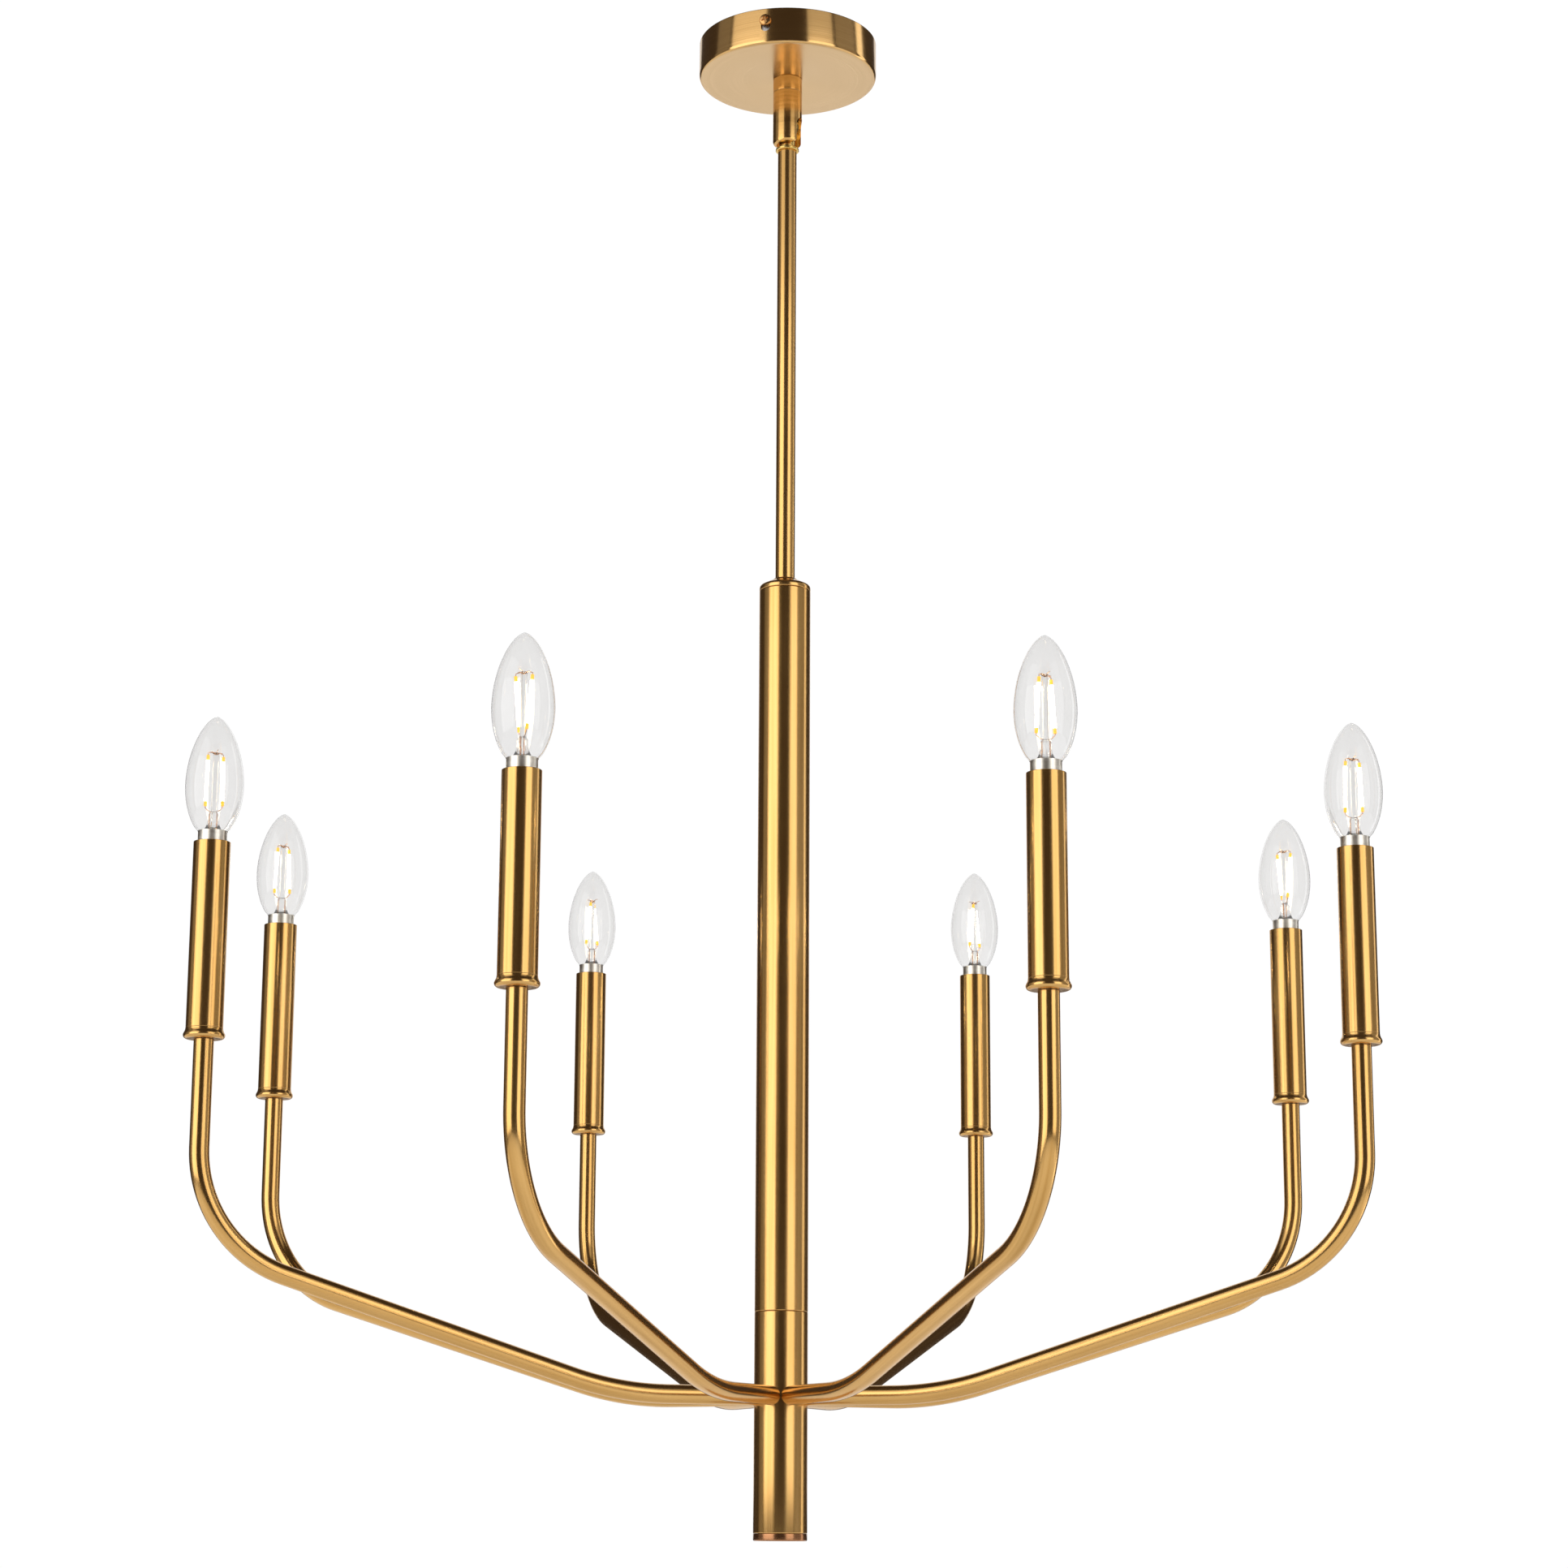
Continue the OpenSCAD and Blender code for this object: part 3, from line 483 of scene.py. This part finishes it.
# ---------------------------------------------------------------- Arms
# Eight brass tubes bent twice, coped to the column and screwed into the hub. One arm is swept along
# its centre line, and the eight are set round the stem at even steps.
def set_round(name, piece, count, first_turn, material):
    """The piece repeated at even steps about the Z axis, as one plain mesh."""
    tree = bpy.data.node_groups.new(name + "_round", "GeometryNodeTree")
    face = tree.interface
    face.new_socket("Geometry", in_out="INPUT", socket_type="NodeSocketGeometry")
    count_in = face.new_socket("Count", in_out="INPUT", socket_type="NodeSocketInt")
    turn_in = face.new_socket("First turn", in_out="INPUT", socket_type="NodeSocketFloat")
    coat_in = face.new_socket("Finish", in_out="INPUT", socket_type="NodeSocketMaterial")
    face.new_socket("Geometry", in_out="OUTPUT", socket_type="NodeSocketGeometry")
    given = tree.nodes.new("NodeGroupInput")
    result = tree.nodes.new("NodeGroupOutput")
    points = tree.nodes.new("GeometryNodeMeshLine")
    points.inputs["Offset"].default_value = (0, 0, 0)
    number = tree.nodes.new("GeometryNodeInputIndex")
    step = tree.nodes.new("ShaderNodeMath")
    step.operation = "DIVIDE"
    step.inputs[0].default_value = 2 * math.pi
    angle = tree.nodes.new("ShaderNodeMath")
    angle.operation = "MULTIPLY_ADD"
    turn = tree.nodes.new("ShaderNodeCombineXYZ")
    copies = tree.nodes.new("GeometryNodeInstanceOnPoints")
    real = tree.nodes.new("GeometryNodeRealizeInstances")
    coat = tree.nodes.new("GeometryNodeSetMaterial")
    tree.links.new(given.outputs["Count"], points.inputs["Count"])
    tree.links.new(given.outputs["Count"], step.inputs[1])
    tree.links.new(number.outputs["Index"], angle.inputs[0])
    tree.links.new(step.outputs[0], angle.inputs[1])
    tree.links.new(given.outputs["First turn"], angle.inputs[2])
    tree.links.new(angle.outputs[0], turn.inputs["Z"])
    tree.links.new(points.outputs["Mesh"], copies.inputs["Points"])
    tree.links.new(given.outputs["Geometry"], copies.inputs["Instance"])
    tree.links.new(turn.outputs["Vector"], copies.inputs["Rotation"])
    tree.links.new(copies.outputs["Instances"], real.inputs["Geometry"])
    tree.links.new(real.outputs["Geometry"], coat.inputs["Geometry"])
    tree.links.new(given.outputs["Finish"], coat.inputs["Material"])
    tree.links.new(coat.outputs["Geometry"], result.inputs["Geometry"])
    maker = piece.modifiers.new("set round", "NODES")
    maker.node_group = tree
    maker[count_in.identifier] = count
    maker[turn_in.identifier] = first_turn
    maker[coat_in.identifier] = material
    piece.update_tag()
    bpy.context.view_layer.update()
    graph = bpy.context.evaluated_depsgraph_get()
    mesh = bpy.data.meshes.new_from_object(piece.evaluated_get(graph), preserve_all_data_layers=True,
                                           depsgraph=graph)
    bpy.data.objects.remove(piece)
    made = bpy.data.objects.new(name, mesh)
    return settled(made)


low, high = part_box("candle_sleeve_1")
candle = Vector(((low.x + high.x) / 2, (low.y + high.y) / 2, 0))
reach, first_turn = candle.length, math.atan2(candle.y, candle.x)
sleeve_low, sleeve_top, sleeve_r = low.z, high.z, (high.y - low.y) / 2
cup_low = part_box("candle_cup_1")[0].z
cup_rise, root_run, low_bend, up_bend, upright = 0.202, 0.0752, 0.216, 0.0764, 0.0644
arm_z = cup_low - cup_rise
arm_r = arm_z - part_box("arm_1")[0].z
knee = cup_rise - upright
span, rise, narrowing = reach - root_run - up_bend, knee - low_bend, low_bend - up_bend
slope = math.atan2(rise, span) + math.asin(narrowing / math.hypot(span, rise))
entry, low_steps, up_steps = 0.0025, 16, 24
line = [(column_r - entry, 0.0, 0.0), (root_run * 0.6, 0.0, 0.0), (root_run, 0.0, 0.0)]
for step in range(1, low_steps + 1):
    t = slope * step / low_steps
    line.append((root_run + low_bend * math.sin(t), low_bend * (1 - math.cos(t)), t))
bend_x, bend_z = reach - up_bend, knee
for step in range(up_steps + 1):
    t = slope + (math.pi / 2 - slope) * step / up_steps
    line.append((bend_x + up_bend * math.sin(t), bend_z - up_bend * math.cos(t), t))
line += [(reach, knee + upright * 0.5, math.pi / 2), (reach, cup_rise - 0.0003, math.pi / 2)]
sweep = bmesh.new()
grain = sweep.verts.layers.float_vector.new("grain")
uv = sweep.loops.layers.uv.new("UVMap")
sides, rings, run = 40, [], 0.0
for k, (x, z, t) in enumerate(line):
    if k:
        run += math.hypot(x - line[k - 1][0], z - line[k - 1][1])
    across, up = Vector((0, 1, 0)), Vector((-math.sin(t), 0, math.cos(t)))
    ring = []
    for side in range(sides):
        a = 2 * math.pi * side / sides
        out = across * math.cos(a) + up * math.sin(a)
        vertex = sweep.verts.new(Vector((x, 0, z + arm_z)) + arm_r * out)
        vertex[grain] = (arm_r * math.cos(a), arm_r * math.sin(a), run)
        ring.append(vertex)
    rings.append((ring, run))
for (a, v0), (b, v1) in zip(rings, rings[1:]):
    for side in range(sides):
        after = (side + 1) % sides
        skin = sweep.faces.new((a[side], a[after], b[after], b[side]))
        for loop, (step, v) in zip(skin.loops, ((side, v0), (side + 1, v0), (side + 1, v1), (side, v1))):
            loop[uv].uv = (step / sides, v)
for ring, _ in (rings[0], rings[-1]):
    sweep.faces.new(ring)
bmesh.ops.recalc_face_normals(sweep, faces=sweep.faces)
mesh = bpy.data.meshes.new("one_arm")
sweep.to_mesh(mesh)
sweep.free()
arms = set_round("arms", settled(bpy.data.objects.new("one_arm", mesh)), 8, first_turn, long_brass)
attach(arms, "stem")
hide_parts(*[f"arm_{n}" for n in range(1, 9)])


# ---------------------------------------------------------------- Candle cups
# Turned brass, one on each arm: a flat underside, a round bead and a hollow curve in to the sleeve.
# Each is bored for the arm's end, and its top carries the sleeve.
bead_r, bead, cup_bore_r = sleeve_r + 0.0014, 0.0022, 0.00505
cup_h, hollow_low, hollow_in, sleeve_gap = sleeve_low - cup_low, 0.0033, 0.0011, 0.0001
shape = [(cup_bore_r, cup_low), (bead_r - bead, cup_low)]
for step in range(1, 13):
    angle = math.radians(-90 + 110 * step / 12)
    shape.append((bead_r - bead + bead * math.cos(angle), cup_low + bead + bead * math.sin(angle)))
for step in range(1, 10):
    t = step / 9
    shape.append((sleeve_r + 0.0001 + hollow_in * (1 - math.sin(math.pi / 2 * t)),
                  cup_low + hollow_low + (cup_h - hollow_low) * t - sleeve_gap))
shape += [(sleeve_r - 0.0011, sleeve_low - sleeve_gap), (sleeve_r - 0.0011, sleeve_low - 0.002),
          (cup_bore_r, cup_low + bead)]
cup = turned("one_cup", shape, sides=72)
cup.data.transform(Matrix.Translation((reach, 0, 0)))
cups = set_round("candle_cups", cup, 8, first_turn, turned_brass)
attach(cups, "stem")
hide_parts(*[f"candle_cup_{n}" for n in range(1, 9)])


# ---------------------------------------------------------------- Candle sleeves
# Plain brass tube over each lamp holder, brushed along its length, its ends lightly eased. It stands
# on the cup and hides the holder up to the lamp's base.
sleeve_bore_r = sleeve_r - 0.0009
shape = [(sleeve_r, sleeve_low), (sleeve_r, sleeve_top),
         (sleeve_bore_r, sleeve_top), (sleeve_bore_r, sleeve_low)]
sleeve = turned("one_sleeve", eased(shape, 0.0003), sides=96)
sleeve.data.transform(Matrix.Translation((reach, 0, 0)))
sleeves = set_round("candle_sleeves", sleeve, 8, first_turn, long_brass)
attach(sleeves, "stem")
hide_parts(*[f"candle_sleeve_{n}" for n in range(1, 9)])


# ---------------------------------------------------------------- Lamp holders
# White insulating bodies, down inside the sleeves, each with a brass screw shell that the lamp's
# thread turns into.
wear("lamp_holders", finish("holder_plastic", ((0.74, 0.72, 0.66), (0.86, 0.84, 0.78)), (0.42, 0.58),
                            (240, 240, 240), bump=0.2))
wear("holder_shells", finish("shell_brass", ((0.58, 0.40, 0.16), (0.78, 0.58, 0.27)), (0.22, 0.34),
                             (300, 300, 900), metal=1.0, bump=0.2))


# ---------------------------------------------------------------- Lamps
# Clear glass candle bulbs on a nickel-plated screw base. Inside, a flared glass stem and a clear rod
# carry thin copper-coloured wires, and two slanting glowing sticks run between them.
def lit(material, colour, strength):
    """Makes a finish give out light of its own."""
    shader = material.node_tree.nodes["Principled BSDF"]
    shader.inputs["Emission Color"].default_value = (*colour, 1)
    shader.inputs["Emission Strength"].default_value = strength


nickel = finish("nickel_plate", ((0.74, 0.69, 0.60), (0.90, 0.86, 0.78)), (0.30, 0.40), (60, 60, 500),
                coords="grain", metal=1.0, bump=0.02)
wire_metal = finish("copper_wire", ((0.56, 0.30, 0.17), (0.78, 0.52, 0.36)), (0.20, 0.34), (900, 900, 900),
                    metal=1.0, bump=0.2)
glass = finish("clear_glass", ((0.885, 0.880, 0.875), (0.925, 0.922, 0.918)), (0.0, 0.003), (30, 30, 30),
               coords="grain")
glass.node_tree.nodes["Principled BSDF"].inputs["Transmission Weight"].default_value = 1.0
glass.node_tree.nodes["Principled BSDF"].inputs["IOR"].default_value = 1.45
glow = finish("lit_stick", ((1.0, 0.78, 0.30), (1.0, 0.90, 0.55)), (0.4, 0.6), (700, 700, 700),
              coords="grain")
lit(glow, (1.0, 0.86, 0.62), 16.0)
phosphor = finish("stick_end", ((1.0, 0.50, 0.02), (1.0, 0.66, 0.08)), (0.4, 0.6), (700, 700, 700),
                  coords="grain")
lit(phosphor, (1.0, 0.50, 0.04), 0.9)


def bulb_outline(length, top_r, foot_r, steps=44):
    """The candle bulb's outline, from its foot to its tip: widest at two fifths, with a blunt point."""
    made = []
    for k in range(steps + 1):
        share = 1 - (1 - k / steps) ** 1.6
        if share < 0.4:
            r = foot_r + (top_r - foot_r) * (1 - (1 - share / 0.4) ** 2.1) ** 0.8
        else:
            r = top_r * max(0.0, 1 - ((share - 0.4) / 0.6) ** 1.85) ** 0.63
        made.append((0.0 if k == steps else r, length * share))
    return made


def wire(name, points, radius, material, sides=12):
    """A round wire or stick through the points, with closed ends."""
    shape = bmesh.new()
    grain = shape.verts.layers.float_vector.new("grain")
    uv = shape.loops.layers.uv.new("UVMap")
    rings, run = [], 0.0
    for k, point in enumerate(points):
        before, after = points[max(k - 1, 0)], points[min(k + 1, len(points) - 1)]
        ahead = (after - before).normalized()
        if k == 0:
            side_way = ahead.orthogonal().normalized()
        else:
            side_way = (side_way - ahead * side_way.dot(ahead)).normalized()
        up = ahead.cross(side_way)
        run += (point - points[k - 1]).length if k else 0.0
        ring = []
        for side in range(sides):
            a = 2 * math.pi * side / sides
            vertex = shape.verts.new(point + radius * (side_way * math.cos(a) + up * math.sin(a)))
            vertex[grain] = (radius * math.cos(a), radius * math.sin(a), run)
            ring.append(vertex)
        rings.append(ring)
    for a, b in zip(rings, rings[1:]):
        for side in range(sides):
            after = (side + 1) % sides
            face = shape.faces.new((a[side], a[after], b[after], b[side]))
            for loop, u in zip(face.loops, (side, side + 1, side + 1, side)):
                loop[uv].uv = (u / sides, 0.0)
    shape.faces.new(rings[0])
    shape.faces.new(rings[-1])
    bmesh.ops.recalc_face_normals(shape, faces=shape.faces)
    mesh = bpy.data.meshes.new(name)
    shape.to_mesh(mesh)
    shape.free()
    mesh.materials.append(material)
    return mesh


def joined(name, meshes):
    """Several meshes as one piece."""
    whole = bmesh.new()
    coats = []
    for mesh in meshes:
        start = len(whole.faces)
        whole.from_mesh(mesh)
        whole.faces.ensure_lookup_table()
        if mesh.materials[0] not in coats:
            coats.append(mesh.materials[0])
        for k in range(start, len(whole.faces)):
            whole.faces[k].material_index = coats.index(mesh.materials[0])
    made = bpy.data.meshes.new(name)
    whole.to_mesh(made)
    whole.free()
    for coat in coats:
        made.materials.append(coat)
    return made


glass_low, glass_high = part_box("bulb_glass_1")
base_low, base_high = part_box("bulb_base_1")
base_r, rim = (base_high.y - base_low.y) / 2, base_high.z
bulb_r, bulb_l = (glass_high.y - glass_low.y) / 2, glass_high.z - rim
tip_z = base_low.z - rim

glass_t, neck_low = 0.0008, -0.006
neck = [(0.0077, neck_low), (0.0083, neck_low), (0.0083, -0.0002)]
outer = bulb_outline(bulb_l, bulb_r, base_r + 0.00030)
inner = bulb_outline(bulb_l - glass_t, bulb_r - glass_t, base_r - 0.0013)
bulb_mesh = turned("bulb_shape", neck + outer + inner[::-1], sides=96).data
bulb_mesh.materials.append(glass)

inside_low, thread_top, pitch, thread_r = -0.012, -0.0162, 0.0034, 0.00585
shape = [(base_r - 0.0005, inside_low), (base_r - 0.0004, 0.0002), (base_r, 0.0), (base_r, -0.0135),
         (base_r - 0.0006, -0.0142), (0.0060, -0.0158)]
for turn in range(5):
    top = thread_top - turn * pitch
    shape += [(thread_r, top), (0.00555, top - 0.0010), (0.00520, top - 0.0017), (0.00555, top - 0.0026)]
shape += [(0.0050, -0.0342), (0.0032, -0.0368), (0.0024, tip_z + 0.0008), (0.0018, tip_z), (0.0, tip_z),
          (0.0, inside_low)]
base_mesh = turned("base_shape", shape, sides=72).data
base_mesh.materials.append(nickel)

mount_shape = turned("mount_shape", eased([(0.0, -0.004), (0.0062, -0.004), (0.0058, 0.000), (0.0040, 0.0035),
                                           (0.0033, 0.0065), (0.0032, 0.0105), (0.0019, 0.0118),
                                           (0.0017, 0.0135), (0.0017, 0.0470), (0.0021, 0.0484),
                                           (0.0, 0.0490)], 0.0006), sides=40).data
mount_shape.materials.append(glass)

twist, spread_r = math.radians(40), 0.0052
stick_r, end_r, wire_r, spoke_r = 0.0010, 0.00095, 0.00028, 0.00022
for n in range(1, 9):
    low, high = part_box(f"bulb_base_{n}")
    place = Matrix.Translation(((low.x + high.x) / 2, (low.y + high.y) / 2, high.z))
    facing = random.uniform(0, 2 * math.pi)
    place = place @ Matrix.Rotation(facing, 4, "Z")
    parts = []
    for side in (0, math.pi):
        foot = Vector((spread_r * math.cos(side), spread_r * math.sin(side), 0.0155))
        head = Vector((spread_r * math.cos(side + twist), spread_r * math.sin(side + twist), 0.0465))
        up = head - foot
        parts.append(wire("stick", [foot + up * t for t in (0.10, 0.3, 0.5, 0.7, 0.90)], stick_r, glow))
        parts.append(wire("stick_foot", [foot, foot + up * 0.05, foot + up * 0.10], end_r, phosphor))
        parts.append(wire("stick_head", [foot + up * 0.90, foot + up * 0.95, head], end_r, phosphor))
        lead = Vector((0.0016 * math.cos(side), 0.0016 * math.sin(side), 0.0075))
        parts.append(wire("foot_wire", [lead - Vector((0, 0, 0.008)), lead, lead + Vector((0, 0, 0.0045)),
                                        (lead + foot) / 2 + Vector((0, 0, 0.0012)), foot - up * 0.03,
                                        foot + up * 0.02], wire_r, wire_metal, sides=8))
        hub_point = Vector((0, 0, 0.0478))
        parts.append(wire("head_wire", [hub_point, (hub_point + head) / 2 + Vector((0, 0, 0.0016)),
                                        head + Vector((0, 0, 0.0012)), head - up * 0.02],
                          wire_r, wire_metal, sides=8))
    for spoke in range(4):
        a = spoke * math.pi / 2 + 0.5
        tip = Vector((0.0042 * math.cos(a), 0.0042 * math.sin(a), 0.0484 + 0.0012 * (spoke % 2)))
        parts.append(wire("spoke", [Vector((0, 0, 0.0472)), tip * 0.5 + Vector((0, 0, 0.0242)), tip],
                          spoke_r, wire_metal, sides=8))
    for part, mesh, word in (("glass", bulb_mesh.copy(), "bulb_glass"),
                             ("base", base_mesh.copy(), "lamp_nickel"),
                             ("rod", mount_shape.copy(), "bulb_glass"),
                             ("sticks", joined("sticks", parts), "shell_brass")):
        mesh.transform(place)
        piece = settled(bpy.data.objects.new(f"lamp_{n}_{part}", mesh))
        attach(piece, f"lamp_{n}")
        if part == "glass":
            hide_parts(f"bulb_glass_{n}")
        if part == "base":
            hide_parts(f"bulb_base_{n}")
for shape_only in ("bulb_shape", "base_shape", "mount_shape"):
    bpy.data.objects.remove(bpy.data.objects[shape_only])


# ---------------------------------------------------------------- Studio
# Plain pale floor well below the lamp and a white backdrop all round. Tall soft boxes stand left and
# right of the camera, dimmer towards the ceiling, with a dark gap between them. A thin bright one
# stands behind right, a dim one behind, and wide ones light the floor.
eye_turn = math.radians(14.4)


def sheet(name, size, height, tones, bend=0):
    """A plain round sheet, or a dome when it is bent, for the stage."""
    plain = bmesh.new()
    if bend:
        bmesh.ops.create_uvsphere(plain, u_segments=64, v_segments=32, radius=size)
        bmesh.ops.reverse_faces(plain, faces=plain.faces)
    else:
        bmesh.ops.create_circle(plain, cap_ends=True, segments=96, radius=size)
    bmesh.ops.translate(plain, verts=plain.verts, vec=(0, 0, height))
    mesh = bpy.data.meshes.new(name)
    plain.to_mesh(mesh)
    plain.free()
    made = settled(bpy.data.objects.new(name, mesh))
    mesh.materials.append(tones)
    return made


pale = finish("pale_floor", ((0.84, 0.835, 0.825), (0.87, 0.865, 0.855)), (0.6, 0.8), (1.5, 1.5, 1.5))
floor_z = foot_z - 2.6
sheet("floor", 12.6, floor_z, pale)
white = bpy.data.materials.new("backdrop_white")
white.use_nodes = True
white.node_tree.nodes["Principled BSDF"].inputs["Base Color"].default_value = (0, 0, 0, 1)
white.node_tree.nodes["Principled BSDF"].inputs["Emission Color"].default_value = (1, 1, 1, 1)
white.node_tree.nodes["Principled BSDF"].inputs["Emission Strength"].default_value = 1.0
backdrop = sheet("backdrop", 15.0, foot_z, white, bend=1)
backdrop.visible_glossy = False
backdrop.visible_diffuse = False
backdrop.visible_shadow = False


def soft_box(name, turn, distance, width, height, middle, radiance):
    """An area light that faces the stem from that many degrees round to the right of the camera."""
    lamp = bpy.data.lights.new(name, "AREA")
    lamp.shape = "RECTANGLE"
    lamp.size, lamp.size_y = width, height
    lamp.energy = radiance * math.pi * width * height
    box = bpy.data.objects.new(name, lamp)
    angle = eye_turn + math.radians(turn)
    box.location = (math.sin(angle) * distance, -math.cos(angle) * distance, middle)
    box.rotation_euler = (math.pi / 2, 0, angle)
    bpy.context.scene.collection.objects.link(box)
    box.visible_camera = False
    box.visible_transmission = False
    return box


soft_box("left_box", -52, 3.0, 2.7, 2.4, -0.05, 2.1)
soft_box("left_top", -52, 3.0, 2.7, 1.5, 1.90, 1.0)
soft_box("right_box", 42.5, 3.0, 1.85, 2.4, -0.05, 1.8)
soft_box("right_top", 42.5, 3.0, 1.85, 1.5, 1.90, 0.62)
soft_box("right_dim", 80, 3.2, 1.8, 4.4, 0.2, 0.28)
soft_box("left_dim", -92, 3.2, 1.3, 4.4, 0.2, 0.20)
soft_box("right_strip", 107, 3.2, 0.70, 4.4, 0.2, 1.5)
soft_box("behind", 180, 3.2, 3.0, 3.4, 0.7, 0.8)
wash_z = floor_z + 1.6
for side in range(4):
    wash = soft_box(f"floor_wash_{side + 1}", side * 90, 7.6, 15.2, 10.4, wash_z, 1.05)
    wash.rotation_euler = (0, 0, eye_turn + math.radians(side * 90))
    wash.data.color = (0.98, 1.0, 1.03)
    wash.visible_glossy = False
middle = soft_box("floor_middle", 0, 0.0, 5.0, 5.0, wash_z, 0.35)
middle.rotation_euler = (0, 0, eye_turn)
middle.visible_glossy = False

sky = bpy.data.worlds.new("studio")
bpy.context.scene.world = sky
sky.use_nodes = True
sky.node_tree.nodes["Background"].inputs["Color"].default_value = (0.062, 0.050, 0.042, 1)
sky.node_tree.nodes["Background"].inputs["Strength"].default_value = 1.0

camera = bpy.data.cameras.new("camera")
camera.sensor_width = 36
camera.lens = 77.4
camera.clip_end = 100
eye = bpy.data.objects.new("camera", camera)
eye_away, eye_rise, look_up, lean = 2.133, 0.007, 12.47, 0.3
stand = (math.sin(eye_turn) * eye_away, -math.cos(eye_turn) * eye_away, foot_z + eye_rise)
eye.matrix_world = (Matrix.Translation(stand)
                    @ Matrix.Rotation(eye_turn, 4, "Z")
                    @ Matrix.Rotation(math.radians(90 + look_up), 4, "X")
                    @ Matrix.Rotation(math.radians(lean), 4, "Z"))
bpy.context.scene.collection.objects.link(eye)
bpy.context.scene.camera = eye
bpy.context.scene.view_settings.view_transform = "Standard"
